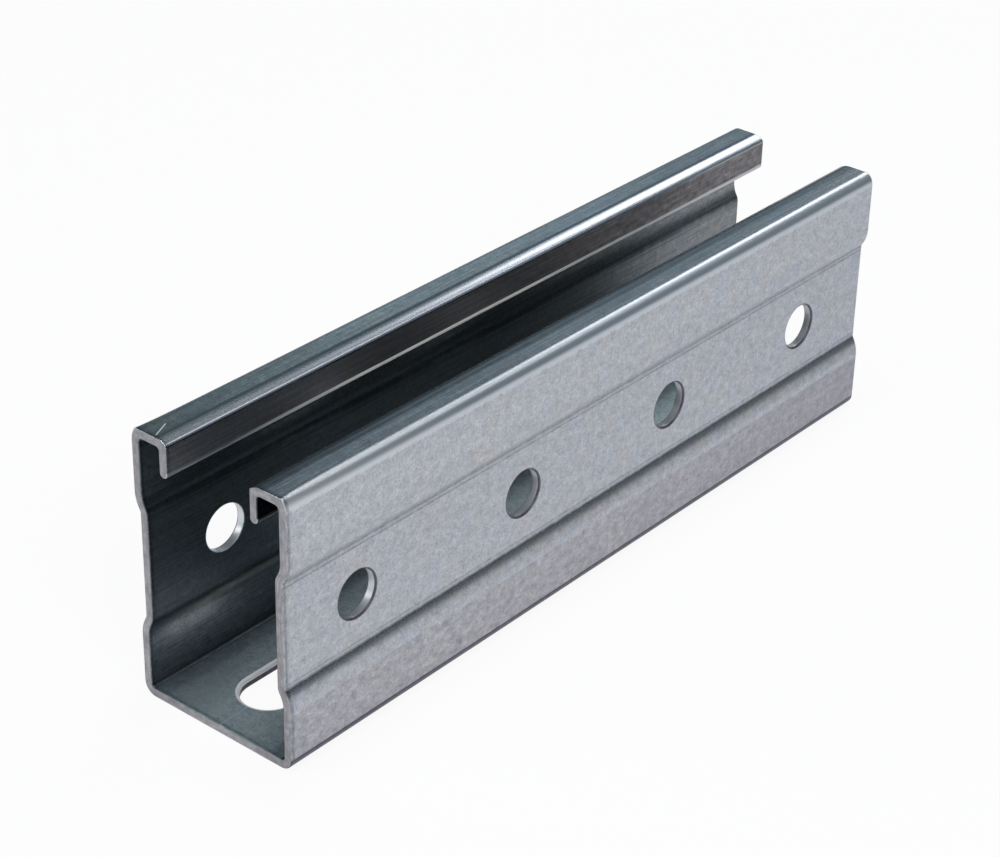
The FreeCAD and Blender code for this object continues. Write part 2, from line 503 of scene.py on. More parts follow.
class SheetMesh:
    """Gathers the corners and faces of the bent sheet.

    Each corner is a distance round the section, an x and a depth below the outer face.
    """

    def __init__(self, sizes):
        self.sizes = sizes
        self.section = Section(sizes, sizes.top_sweep_radius, sizes.top_corner_radius)
        self.cut_section = Section(sizes, sizes.cut_sweep_radius, sizes.cut_corner_radius)
        self.spots = []
        self.faces = []
        self.finish = []

    def add(self, distance, x, depth):
        """One corner; gives back its number."""
        self.spots.append((distance, x, depth))
        return len(self.spots) - 1

    def face(self, corners, finish=COAT):
        """One face with its finish number."""
        self.faces.append(tuple(corners))
        self.finish.append(finish)

    def ring(self, x, back):
        """Corners all the way round the sheet at one place along the length."""
        sheet = self.section.sheet
        distances = self.section.distance
        total = distances[-1]
        half = sheet / 2
        reach = half - back
        turn = [math.pi * m / LIP_STEPS for m in range(1, LIP_STEPS)]
        loop = [self.add(d, x, back) for d in distances]
        loop += [self.add(total + reach * math.sin(a), x, half - reach * math.cos(a)) for a in turn]
        loop += [self.add(d, x, sheet - back) for d in reversed(distances)]
        loop += [self.add(-reach * math.sin(a), x, half + reach * math.cos(a)) for a in turn]
        return loop

    def build(self):
        """All corners and faces."""
        stations = length_stations(self.sizes)
        rings = [self.ring(x, back) for x, back in stations]
        count = len(rings[0])
        outer = len(self.section.distance)
        inner_start = outer + LIP_STEPS - 1
        skipped = self.patches(stations, rings, outer, inner_start)
        for j in range(len(rings) - 1):
            for r in range(count):
                if (j, r) in skipped:
                    continue
                after = (r + 1) % count
                self.face((rings[j][r], rings[j][after], rings[j + 1][after], rings[j + 1][r]))
        self.cap(rings[0], outer, inner_start)
        self.cap(rings[-1], outer, inner_start)

    def cap(self, loop, outer, inner_start):
        """Sawn face at one end, from the outer edge across to the inner edge."""
        _, x, back = self.spots[loop[0]]
        sheet = self.section.sheet
        rows = []
        for i, distance in enumerate(self.section.distance):
            row = [loop[i]]
            for k in range(1, LIP_STEPS):
                share = 0.5 - 0.5 * math.cos(math.pi * k / LIP_STEPS)
                row.append(self.add(distance, x, back + (sheet - 2 * back) * share))
            row.append(loop[inner_start + outer - 1 - i])
            rows.append(row)
        for before, after in zip(rows, rows[1:]):
            for k in range(LIP_STEPS):
                self.face((before[k], after[k], after[k + 1], before[k + 1]), SAWN_END)
        last_arc = loop[outer - 1:inner_start + 1]
        first_arc = [loop[0], *reversed(loop[inner_start + outer - 1:])]
        for row, arc in ((rows[-1], last_arc), (rows[0], first_arc)):
            for k in range(LIP_STEPS):
                corners = (row[k], arc[k], arc[k + 1], row[k + 1])
                unique = dict.fromkeys(corners)
                self.face(unique, SAWN_END)

    def patches(self, stations, rings, outer, inner_start):
        """Rings of faces round every opening; gives back the grid faces that they stand for."""
        skipped = set()
        distances = np.array(self.section.distance)
        xs = np.array([x for x, back in stations])
        for opening in openings(self.sizes):
            j0 = int(np.argmin(abs(xs - (opening.x - opening.reach))))
            j1 = int(np.argmin(abs(xs - (opening.x + opening.reach))))
            for low, high, kind in self.section.flats:
                if kind != opening.kind:
                    continue
                i0 = int(np.argmin(abs(distances - low)))
                i1 = int(np.argmin(abs(distances - high)))
                for j in range(j0, j1):
                    for i in range(i0, i1):
                        skipped.add((j, i))
                        skipped.add((j, inner_start + outer - 2 - i))
                path = [(i0, j) for j in range(j0, j1)]
                path += [(i, j1) for i in range(i0, i1)]
                path += [(i1, j) for j in range(j1, j0, -1)]
                path += [(i, j0) for i in range(i1, i0, -1)]
                outside = [rings[j][i] for i, j in path]
                inside = [rings[j][inner_start + outer - 1 - i] for i, j in path]
                self.punch(opening, (low + high) / 2, i1 - i0, j1 - j0, outside, inside)
        return skipped

    def punch(self, opening, middle, across, along, outside, inside):
        """Rolled-over entry edge, punched wall and burred exit edge of one opening.

        The punch went into a side hole from outside and into a base slot from inside.
        """
        sheet = self.section.sheet
        rounding = opening.rounding
        entry_outside = opening.kind == "side"
        outline, direction = edge_loop(opening.half_run, opening.radius, across, along)

        def put(spots, depth):
            """A loop of corners at this depth from the entry face."""
            depth = depth if entry_outside else sheet - depth
            return [self.add(middle + u, opening.x + v, depth) for u, v in spots]

        def place(offset, depth):
            """A loop at this offset from the outline."""
            return put(outline + direction * offset, depth)

        def between(loop, offset, share, depth):
            """A loop part of the way from the outline out to the patch edge."""
            near = outline + direction * offset
            far = np.array([(self.spots[c][0] - middle, self.spots[c][1] - opening.x) for c in loop])
            return put(near + (far - near) * share, depth)

        entry, leaving = (outside, inside) if entry_outside else (inside, outside)
        rolled, wall, burr = ROLLED_EDGE, PUNCHED_WALL, HOLE_BURR
        if not entry_outside:
            rolled, wall, burr = SLOT_EDGE, SLOT_WALL, SLOT_BURR
        hold = rounding + EDGE_HOLD
        loops = [(entry, COAT)]
        for share in reversed(PATCH_SHARES):
            loops.append((between(entry, hold, share, 0.0), COAT))
        loops.append((place(hold, 0.0), COAT))
        for i in range(ROUNDING_STEPS + 1):
            angle = math.pi / 2 * i / ROUNDING_STEPS
            offset = rounding * (1 - math.sin(angle))
            loops.append((place(offset, rounding * (1 - math.cos(angle))), rolled if i else COAT))
        burnish = rounding + (sheet - rounding) * BURNISHED_SHARE
        out = WALL_BULGE + 0.7 * MM
        for offset, depth, finish in (
            (0.0, (rounding + burnish) / 2, wall),
            (0.0, burnish, wall),
            (WALL_BULGE, burnish + 0.18 * MM, wall),
            (WALL_BULGE, sheet - 0.25 * MM, wall),
            (WALL_BULGE, sheet - 0.05 * MM, wall),
            (WALL_BULGE + 0.05 * MM, sheet + burr, wall),
            (WALL_BULGE + 0.16 * MM, sheet + burr * 0.7, wall),
            (WALL_BULGE + 0.34 * MM, sheet, COAT),
            (out, sheet, COAT),
        ):
            loops.append((place(offset, depth), finish))
        for share in PATCH_SHARES:
            loops.append((between(leaving, out, share, sheet), COAT))
        loops.append((leaving, COAT))
        for (loop, _), (following, finish) in zip(loops, loops[1:]):
            count = len(loop)
            for k in range(count):
                n = (k + 1) % count
                self.face((loop[k], loop[n], following[n], following[k]), finish)

    def positions(self):
        """Corners in space, with the long waves that the rolls leave."""
        spots = np.array(self.spots)
        distance, points, outward, inner = self.section.arrays()
        _, cut_points, _, cut_inner = self.cut_section.arrays()
        s = spots[:, 0]
        inside_s = np.clip(s, 0.0, distance[-1])
        beyond = s - inside_s
        cut = np.exp(-(spots[:, 1] + self.sizes.channel_length / 2) / self.sizes.cut_reach)

        def along_section(whole, pinched):
            """Values at these places, between the whole section's and the pinched one's."""
            plain = np.interp(inside_s, distance, whole)
            return plain + (np.interp(inside_s, distance, pinched) - plain) * cut

        y = along_section(points[:, 0], cut_points[:, 0])
        z = along_section(points[:, 1], cut_points[:, 1])
        ny = np.interp(inside_s, distance, outward[:, 0])
        nz = np.interp(inside_s, distance, outward[:, 1])
        size = np.hypot(ny, nz)
        ny /= size
        nz /= size
        share = spots[:, 2] / self.section.sheet
        back_y = along_section(inner[:, 0], cut_inner[:, 0]) - y
        back_z = along_section(inner[:, 1], cut_inner[:, 1]) - z
        lift = self.waves(s, spots[:, 1])
        y += -nz * beyond + back_y * share - ny * lift
        z += ny * beyond + back_z * share - nz * lift
        return np.stack([spots[:, 1], y, z], 1)

    def waves(self, s, x):
        """How far long shallow waves set the sheet back, never forward of its plain face."""
        height = self.sizes.waviness
        swell = sum(share * np.sin(x * along + s * across + shift) for share, along, across, shift in WAVES)
        return height * swell / 2 + height * WAVE_SETBACK


def channel_mesh(sizes):
    """The bent sheet as a mesh with its finish numbers, and its section."""
    sheet = SheetMesh(sizes)
    sheet.build()
    corners = sheet.positions()
    mesh = bpy.data.meshes.new("bent_sheet")
    mesh.from_pydata(corners.tolist(), [], sheet.faces)
    mesh.polygons.foreach_set("material_index", sheet.finish)
    spots = np.array(sheet.spots, dtype=np.float32)
    unrolled = mesh.attributes.new("unrolled", "FLOAT_VECTOR", "POINT")
    unrolled.data.foreach_set("vector", spots.ravel())
    mesh.polygons.foreach_set("use_smooth", [True] * len(mesh.polygons))
    work = bmesh.new()
    work.from_mesh(mesh)
    loose = [corner for corner in work.verts if not corner.link_faces]
    bmesh.ops.delete(work, geom=loose, context="VERTS")
    bmesh.ops.recalc_face_normals(work, faces=work.faces)
    open_edges = [edge for edge in work.edges if len(edge.link_faces) != 2]
    if open_edges:
        raise RuntimeError(f"the sheet is not closed: {len(open_edges)} open edges")
    work.to_mesh(mesh)
    work.free()
    mesh.update()
    return mesh, sheet.section


# Node helpers
class Nodes:
    """Short calls for building the nodes of a material or of the world."""

    def __init__(self, owner):
        self.tree = owner.node_tree
        self.tree.nodes.clear()

    def new(self, kind, **settings):
        """A node with its settings."""
        node = self.tree.nodes.new(kind)
        for name, value in settings.items():
            setattr(node, name, value)
        return node

    def feed(self, socket, value):
        """Gives an input a wire, a colour or a number."""
        if isinstance(value, bpy.types.NodeSocket):
            self.tree.links.new(value, socket)
        elif socket.type == "RGBA":
            socket.default_value = (*value, 1.0)
        else:
            socket.default_value = value

    def place(self):
        """Where a spot lies on the unrolled sheet: round the section, along it and deep."""
        source = self.new("ShaderNodeAttribute", attribute_name="unrolled")
        parts = self.new("ShaderNodeSeparateXYZ")
        self.feed(parts.inputs[0], source.outputs["Vector"])
        return parts.outputs

    def unrolled(self, scale):
        """The sheet laid flat as x along the length, y round the section, scaled by direction."""
        place = self.place()
        join = self.new("ShaderNodeCombineXYZ")
        for target, origin, factor in zip("XYZ", "YXZ", scale):
            self.feed(join.inputs[target], self.math("MULTIPLY", place[origin], factor))
        return join.outputs[0]

    def noise(self, vector, scale, detail=3.0, rough=0.6, twist=0.0):
        """Grey noise."""
        node = self.new("ShaderNodeTexNoise")
        self.feed(node.inputs["Vector"], vector)
        node.inputs["Scale"].default_value = scale
        node.inputs["Detail"].default_value = detail
        node.inputs["Roughness"].default_value = rough
        node.inputs["Distortion"].default_value = twist
        return node.outputs["Fac"]

    def spread(self, value, low, high, to_low=0.0, to_high=1.0):
        """A value moved from one range to another, kept within it."""
        node = self.new("ShaderNodeMapRange")
        for socket, given in zip(node.inputs, (value, low, high, to_low, to_high)):
            self.feed(socket, given)
        return node.outputs[0]

    def math(self, operation, a, b):
        """One sum."""
        node = self.new("ShaderNodeMath", operation=operation)
        self.feed(node.inputs[0], a)
        self.feed(node.inputs[1], b)
        return node.outputs[0]

    def times(self, *shares):
        """Shares multiplied together."""
        product = shares[0]
        for share in shares[1:]:
            product = self.math("MULTIPLY", product, share)
        return product

    def stripe(self, place, middle, half, soft):
        """One within half a width of the middle, nothing further off than that and soft more."""
        away = self.math("ABSOLUTE", self.math("SUBTRACT", place, middle), 0.0)
        return self.spread(away, half, half + soft, 1.0, 0.0)

    def over(self, span, place, trim, soft):
        """One over a span of the section trimmed at both ends, fading over soft."""
        return self.stripe(place, sum(span) / 2, (span[1] - span[0]) / 2 - trim, soft)

    def grey(self, value):
        """A value as a grey colour."""
        node = self.new("ShaderNodeCombineColor")
        for socket in node.inputs[:3]:
            self.feed(socket, value)
        return node.outputs[0]

    def mix(self, share, a, b, blend="MIX"):
        """Two colours mixed by a share."""
        node = self.new("ShaderNodeMix", data_type="RGBA", blend_type=blend)
        self.feed(node.inputs[0], share)
        self.feed(node.inputs[6], a)
        self.feed(node.inputs[7], b)
        return node.outputs[2]

    def bump(self, height, distance, strength, normal=None):
        """Relief from a height."""
        node = self.new("ShaderNodeBump")
        self.feed(node.inputs["Height"], height)
        node.inputs["Distance"].default_value = distance
        self.feed(node.inputs["Strength"], strength)
        if normal is not None:
            self.feed(node.inputs["Normal"], normal)
        return node.outputs[0]

    def metal(self, base, roughness, normal, metallic=1.0):
        """Metal shader to the output."""
        shader = self.new("ShaderNodeBsdfPrincipled")
        self.feed(shader.inputs["Metallic"], metallic)
        self.feed(shader.inputs["Base Color"], base)
        self.feed(shader.inputs["Roughness"], roughness)
        self.feed(shader.inputs["Normal"], normal)
        self.show(shader.outputs[0], "ShaderNodeOutputMaterial")

    def blend(self, share, first, second):
        """Two shaders mixed by a share."""
        node = self.new("ShaderNodeMixShader")
        for socket, value in zip(node.inputs, (share, first.outputs[0], second.outputs[0])):
            self.feed(socket, value)
        return node.outputs[0]

    def show(self, surface, kind):
        """Wires a shader to an output of this kind."""
        self.feed(self.new(kind).inputs["Surface"], surface)


def blank_material(name):
    """A new material with nodes."""
    material = bpy.data.materials.new(name)
    material.use_nodes = True
    return material


# Scales that turn metres on the unrolled sheet into noise: along, round the section, deep
EVEN = (1000.0, 1000.0, 1000.0)
STREAKED = (40.0, 2600.0, 1000.0)
SMEARED = (420.0, 620.0, 1000.0)
UPRIGHT = (1700.0, 600.0, 1000.0)

# Tints that the coat is multiplied by, each in its own place; most are painted light and shade
TINTS = {
    # Painted light and shade up the wall
    "step": (0.99, 0.99, 1.00),
    "upper wall": (1.06, 1.06, 1.05),
    "swing": (0.90, 0.88, 0.86),
    "far walls": (0.93, 0.94, 0.96),
    "far low wall": (0.90, 0.90, 0.93),
    # Painted light and shade on the left flange
    "near left flange": (0.84, 0.90, 0.84),
    "middle left flange": (1.26, 1.28, 1.26),
    # Painted shade by the lips; the far lip face is also stained
    "beside right lip": (0.36, 0.38, 0.40),
    "far lip face": (0.68, 0.68, 0.69),
    "groove": (0.34, 0.37, 0.41),
    "near facet": (0.46, 0.47, 0.49),
    # Chips in the left lip's corner
    "chips": (0.40, 0.41, 0.45),
    # Painted shade at the foot
    "foot": (0.20, 0.18, 0.24),
    # Painted light and shade on the walls and the base inside
    "foot inside": (1.8, 1.7, 1.65),
    "middle inside": (0.60, 0.59, 0.57),
    "far inside": (1.65, 1.46, 1.36),
    "far base": (2.0, 2.0, 1.95),
}
# Colour of the painted glint on the left lip's end
GLINT = (1.0, 0.99, 0.92)
SCRATCH_FROM_WALL = 14.0 * MM
SCRATCH_SLANT = 0.43


class ZincCoat:
    """Mottled zinc coat, streaked by the rolls and drawn bright on the bends, with painted light and shade in
    many places.

    Arm is the distance round the section from the middle of the base, either way. Along is the
    distance from the near end, and far is the same from 0 to 1. Inner is one on the inner face.
    """

    def __init__(self, colours, section, half_length, half_width):
        self.material = blank_material("zinc_coat")
        n = self.nodes = Nodes(self.material)
        self.colours = colours
        self.arms = arms = section.arms
        self.half_section = section.middle
        self.scratch_place = arms["top"][1] + half_width - section.top_inward - SCRATCH_FROM_WALL
        place = n.place()
        self.across = n.math("SUBTRACT", place["X"], section.middle)
        self.arm = n.math("ABSOLUTE", self.across, 0.0)
        self.along = n.math("ADD", place["Y"], half_length)
        self.far = n.spread(self.along, 0.0, 2 * half_length)
        self.inner = n.spread(place["Z"], section.sheet * 0.7, section.sheet * 0.95)
        self.left = n.spread(self.across, 0.0, 1.0 * MM)
        self.right = n.spread(self.across, -1.0 * MM, 0.0, 1.0, 0.0)

        even = n.unrolled(EVEN)
        self.patches = n.noise(even, 0.11, 4.0, 0.6, 0.6)
        self.clouds = n.noise(even, 0.45, 4.0, 0.65, 0.3)
        self.mottle = n.noise(even, 1.3)
        self.specks = n.noise(even, 2.8, 2.0)
        self.streaks = n.noise(n.unrolled(STREAKED), 1.0)
        self.smears = n.noise(n.unrolled(SMEARED), 1.0)
        self.grain = n.noise(n.unrolled(UPRIGHT), 1.0)

        self.top_bend = n.over(arms["top"], self.arm, 0.5 * MM, 0.5 * MM)
        self.lip_bend = n.over(arms["lip"], self.arm, 0.3 * MM, 0.3 * MM)
        self.bend = n.math("MAXIMUM", self.top_bend, self.lip_bend)
        self.unbent = n.spread(self.bend, 0.0, 1.0, 1.0, 0.0)
        foot, step = arms["base"][1], arms["low_shoulder"][0]
        middle, half = (foot + step) / 2 - 0.5 * MM, (step - foot) / 2 - 0.3 * MM
        self.low_wall = n.stripe(self.arm, middle, half, 0.4 * MM)

        warm = n.spread(self.patches, 0.38, 0.62)
        self.base = n.mix(warm, colours.pale_zinc, colours.warm_zinc)
        self.walls()
        self.flanges()
        self.lips()
        self.top_bends()
        self.pits_and_grain()
        self.creases()
        self.dirt()
        self.inside()
        self.base_inside()
        self.left_wall_inside()
        self.lip_edges()
        self.finish()

    def tone(self, share, low, high, noise):
        """Makes the coat darker and lighter by a noise, where the share says."""
        n = self.nodes
        varied = n.mix(1.0, self.base, n.grey(n.spread(noise, 0.3, 0.7, low, high)), "MULTIPLY")
        self.base = n.mix(share, self.base, varied)

    def tint(self, share, tint):
        """Multiplies the coat by a tint, where the share says."""
        self.base = self.nodes.mix(share, self.base, self.nodes.mix(1.0, self.base, tint, "MULTIPLY"))

    def paint(self, share, colour):
        """Covers the coat with a colour, where the share says."""
        self.base = self.nodes.mix(share, self.base, colour)

    def walls(self):
        """Painted shade on the lower walls, mottle, painted light and shade up the wall, and darker towards the
        far end.
        """
        n, arm, far, arms, low_wall = self.nodes, self.arm, self.far, self.arms, self.low_wall
        step = arms["low_shoulder"][0]
        # Painted shade: the lower walls darker and warmer, most of all towards the far end
        self.paint(n.times(low_wall, n.spread(far, 0.0, 1.0, 0.55, 1.0)), self.colours.lower_wall_shade)
        self.tone(1.0, 0.94, 1.06, self.patches)
        self.tone(1.0, 0.85, 1.13, self.clouds)
        self.tone(self.unbent, 0.85, 1.12, self.mottle)
        self.tone(n.times(low_wall, n.spread(far, 0.2, 0.8, 1.0, 0.6)), 0.78, 1.14, self.smears)
        # Painted light and shade up the wall: a faint tint on the low shoulder's slope, the upper wall lighter,
        # and the swing in to the low crease darker away from the near end
        self.tint(n.stripe(arm, step + 0.6 * MM, 0.9 * MM, 0.7 * MM), TINTS["step"])
        upper_middle = (arms["high_shoulder"][1] + arms["top"][0]) / 2
        self.tint(n.stripe(arm, upper_middle, 3.0 * MM, 3.0 * MM), TINTS["upper wall"])
        swing = n.stripe(arm, (step + arms["low_crease"][0]) / 2 + 0.4 * MM, 1.2 * MM, 1.0 * MM)
        self.tint(n.times(swing, n.spread(far, 0.1, 0.4)), TINTS["swing"])
        self.tint(n.spread(far, 0.3, 1.0), TINTS["far walls"])
        self.tint(n.times(low_wall, n.spread(far, 0.5, 1.0)), TINTS["far low wall"])

    def flanges(self):
        """Streaks that the rolls draw, bright bends, the lips' stain, and painted light and shade on the left
        flange.
        """
        n, arm, far, arms = self.nodes, self.arm, self.far, self.arms
        flange_middle = (arms["top"][1] + arms["lip"][0]) / 2
        flange = n.stripe(arm, flange_middle, (arms["lip"][0] - arms["top"][1]) / 2, 1.0 * MM)
        self.drawn = n.math("MAXIMUM", flange, n.spread(arm, arms["lip"][0], arms["lip"][1]))
        self.tone(self.drawn, 0.64, 1.28, self.streaks)
        self.paint(n.times(self.bend, 0.9), self.colours.bend_zinc)
        stained = n.times(
            n.spread(arm, arms["lip"][1] - 0.6 * MM, arms["lip"][1] + 0.3 * MM),
            n.spread(self.clouds, 0.3, 0.6, 0.8, 1.0),
            n.spread(far, 0.0, 0.6, 0.35, 1.0),
        )
        bare = n.spread(self.streaks, 0.38, 0.66, 0.0, 0.35)
        self.paint(stained, n.mix(bare, self.colours.lip_stain, self.base))
        # Painted light and shade: the left flange darker near the end and lighter in the middle
        left_flange = n.times(self.left, flange)
        self.tint(n.times(left_flange, n.spread(far, 0.0, 0.4, 1.0, 0.0)), TINTS["near left flange"])
        self.tint(n.times(left_flange, n.stripe(far, 0.5, 0.15, 0.25)), TINTS["middle left flange"])

    def lips(self):
        """Painted shade beside the right lip; on the left lip a stained face with painted shade at the far end,
        painted shade in the groove and on the facet near the end, and chips.
        """
        n, arm, far, left = self.nodes, self.arm, self.far, self.left
        begin, end = self.arms["lip"]
        # Painted shade: a dark strip on the flange beside the right lip
        beside = n.spread(arm, begin - 1.4 * MM, begin - 0.6 * MM)
        self.tint(n.times(self.right, beside, n.spread(far, 0.1, 1.0, 1.0, 0.6)), TINTS["beside right lip"])
        self.lip_face = n.times(left, n.spread(arm, end - 0.2 * MM, end + 0.2 * MM))
        # Stain and painted shade: the left lip's face darker and blotchy towards the far end
        far_face = n.times(self.lip_face, n.spread(far, 0.4, 0.8))
        self.tint(far_face, TINTS["far lip face"])
        self.tone(far_face, 0.60, 1.55, self.smears)
        # Painted shade: a dark line in the groove where the left lip's bend begins
        groove = n.stripe(arm, begin + 0.2 * MM, 0.30 * MM, 0.30 * MM)
        self.tint(n.times(left, groove, n.spread(far, 0.0, 0.3, 0.6, 1.0)), TINTS["groove"])
        # Painted shade: the left lip's facet dimmed between the near end and the middle
        near_facet_shade = n.times(
            left,
            n.stripe(arm, end - 1.7 * MM, 1.0 * MM, 0.6 * MM),
            n.spread(self.along, 10.0 * MM, 70.0 * MM, 0.3, 1.0),
            n.spread(self.along, 30.0 * MM, 125.0 * MM, 1.0, 0.0),
        )
        self.tint(near_facet_shade, TINTS["near facet"])
        chips = n.times(
            left,
            n.stripe(arm, end - 0.9 * MM, 0.15 * MM, 0.30 * MM),
            n.spread(self.streaks, 0.50, 0.60),
            n.spread(far, 0.5, 0.8),
        )
        self.tint(chips, TINTS["chips"])

    def top_bends(self):
        """Top bends paler and rougher near the cut end, partly a burr from the cut and partly a painted
        highlight, and a painted highlight line where they begin.
        """
        n = self.nodes
        # Burr and painted highlight: the top bends paler near the cut end
        near = n.spread(self.along, 8.0 * MM, 55.0 * MM, 1.0, 0.0)
        self.burr_and_highlight = n.times(self.top_bend, near, 0.6)
        self.paint(self.burr_and_highlight, self.colours.rubbed_and_highlight_zinc)
        # Painted highlight: a pale line where the top bend leaves the wall
        highlight_line = n.stripe(self.arm, self.arms["top"][0] + 0.05 * MM, 0.10 * MM, 0.20 * MM)
        self.paint(n.times(highlight_line, n.spread(self.clouds, 0.35, 0.5, 0.3, 1.0), 0.4), self.colours.rubbed_and_highlight_zinc)

    def pits_and_grain(self):
        """Dark pits and a fine upright grain, nearly none on the bends."""
        n = self.nodes
        self.pits = n.times(n.spread(self.specks, 0.585, 0.665), n.spread(self.bend, 0.0, 1.0, 0.64, 0.05))
        self.paint(self.pits, self.colours.zinc_pits)
        self.paint(n.times(n.spread(self.grain, 0.52, 0.75), self.unbent, 0.28), self.colours.zinc_pits)

    def creases(self):
        """Painted shade along the creases and by the foot, and dark specks on the low crease's crest."""
        n = self.nodes
        low_crease, high_crease = sum(self.arms["low_crease"]) / 2, sum(self.arms["high_crease"]) / 2
        broken = n.spread(self.smears, 0.3, 0.55, 0.5, 1.0)
        # Painted shade: dark lines in and beside the creases, and a dark band where the base turns into its bend
        for place, half, soft, depth in (
            (low_crease, 0.15 * MM, 0.30 * MM, 0.75),
            (low_crease + 1.1 * MM, 0.05 * MM, 0.25 * MM, 0.40),
            (low_crease + 0.6 * MM, 0.30 * MM, 0.30 * MM, 0.15),
            (high_crease, 0.10 * MM, 0.30 * MM, 0.55),
            (high_crease - 1.1 * MM, 0.05 * MM, 0.25 * MM, 0.50),
            (high_crease - 0.6 * MM, 0.30 * MM, 0.40 * MM, 0.18),
            (self.arms["base"][0] - 1.0 * MM, 1.5 * MM, 2.0 * MM, 0.40),
        ):
            line = n.times(n.stripe(self.arm, place, half, soft), broken, depth)
            self.paint(line, self.colours.shade_and_grime)
        # Painted shade: the outer face of the base bend dark, like the shaded floor under it
        foot = n.over(self.arms["base"], self.arm, 0.15 * MM, 0.25 * MM)
        self.tint(n.times(foot, n.spread(self.inner, 0.0, 1.0, 0.95, 0.0)), TINTS["foot"])
        crest = n.times(
            n.stripe(self.arm, low_crease - 0.5 * MM, 0.15 * MM, 0.4 * MM),
            n.spread(self.specks, 0.42, 0.55),
            n.spread(self.far, 0.2, 1.0, 0.7, 0.3),
        )
        self.paint(crest, self.colours.zinc_pits)

    def dirt(self):
        """Dirt by the near end and the scratch on the left flange."""
        n, along = self.nodes, self.along
        near = n.spread(along, 0.4 * MM, 1.9 * MM, 1.0, 0.0)
        self.paint(n.times(near, n.spread(self.grain, 0.40, 0.58), 0.30), self.colours.shade_and_grime)
        line = n.stripe(along, 0.55 * MM, 0.15 * MM, 0.35 * MM)
        broken = n.spread(self.mottle, 0.35, 0.6, 0.3, 1.0)
        self.paint(n.times(line, broken, 0.55), self.colours.shade_and_grime)
        slanted = n.math("ADD", self.across, n.math("MULTIPLY", along, SCRATCH_SLANT))
        self.scratch = n.times(
            n.stripe(slanted, self.scratch_place, 0.08 * MM, 0.12 * MM),
            n.stripe(along, 2.9 * MM, 1.9 * MM, 0.4 * MM),
            n.spread(self.specks, 0.3, 0.5, 0.4, 1.0),
            0.8,
        )
        self.paint(self.scratch, self.colours.rubbed_and_highlight_zinc)

    def inside(self):
        """Tone of the walls inside, partly painted shade, with painted light low down near the near end and at
        the far end, and painted shade a little past the middle.
        """
        n, far = self.nodes, self.far
        base_edge = self.arms["base"][0]
        over_base = n.spread(self.arm, base_edge - 0.3 * MM, base_edge + 1.2 * MM, 1.0, 0.0)
        self.in_base = n.times(self.inner, over_base)
        self.in_walls = n.math("SUBTRACT", self.inner, self.in_base)
        # Partly painted shade: the walls inside darker
        self.tint(self.in_walls, self.colours.inner_tone_and_shade)
        self.tone(self.in_walls, 0.72, 1.32, self.streaks)
        near = n.spread(self.along, 15.0 * MM, 60.0 * MM, 1.0, 0.0)
        # Painted light: the lower walls inside paler near the open near end
        self.tint(n.times(self.in_walls, self.low_wall, near), TINTS["foot inside"])
        # Painted shade a little past the middle, and painted light near the far end
        self.tint(n.times(self.in_walls, n.stripe(far, 0.6, 0.1, 0.15)), TINTS["middle inside"])
        self.tint(n.times(self.in_walls, n.spread(far, 0.72, 0.92)), TINTS["far inside"])

    def base_inside(self):
        """Dull base, paler towards the far end as painted light, with a line scored in front of the first slot.
        """
        n = self.nodes
        self.tint(self.in_base, self.colours.base_tone)
        # Painted light: the base inside paler towards the far end
        self.tint(n.times(self.in_base, n.spread(self.far, 0.2, 0.9)), TINTS["far base"])
        scored = n.times(
            self.in_base,
            n.stripe(self.across, -0.7 * MM, 0.05 * MM, 0.2 * MM),
            n.spread(self.along, 8.0 * MM, 9.0 * MM, 1.0, 0.0),
            0.3,
        )
        self.paint(scored, self.colours.rubbed_and_highlight_zinc)

    def left_wall_inside(self):
        """Painted olive reflection and a painted highlight on the left wall inside, near the end."""
        n, arm = self.nodes, self.arm
        step = self.arms["low_shoulder"][0]
        left_inside = n.times(self.in_walls, self.left)
        # Painted reflection: an olive band of light by the low crease, near the end
        reflection = n.times(
            left_inside,
            n.stripe(arm, step + 1.9 * MM, 0.7 * MM, 1.0 * MM),
            n.stripe(self.along, 26.0 * MM, 9.0 * MM, 16.0 * MM),
            n.spread(self.smears, 0.35, 0.6, 0.4, 1.0),
            0.7,
        )
        self.paint(reflection, self.colours.olive_reflection)
        # Painted highlight: a pale patch on the lower wall inside, just below the low shoulder
        inside_highlight = n.times(
            left_inside,
            n.stripe(arm, step - 1.6 * MM, 1.2 * MM, 1.8 * MM),
            n.stripe(self.along, 11.0 * MM, 4.0 * MM, 6.0 * MM),
            n.spread(self.specks, 0.40, 0.62, 0.2, 1.0),
            0.4,
        )
        self.paint(inside_highlight, self.colours.rubbed_and_highlight_zinc)

    def lip_edges(self):
        """Rounded ends of the lips, partly rubbed and partly a painted highlight, with a painted glint on the
        left one halfway along.
        """
        n = self.nodes
        edge = n.spread(self.arm, self.half_section - 0.45 * MM, self.half_section - 0.2 * MM)
        # Rubbing and painted highlight: the lips' rounded ends paler
        self.paint(n.times(edge, 0.6), self.colours.rubbed_and_highlight_zinc)
        # Painted highlight: a cream glint on the left lip's end, halfway along
        self.glint = n.times(
            edge,
            self.left,
            n.stripe(self.far, 0.42, 0.14, 0.2),
            n.spread(self.streaks, 0.3, 0.5, 0.7, 1.0),
        )
        self.paint(self.glint, GLINT)

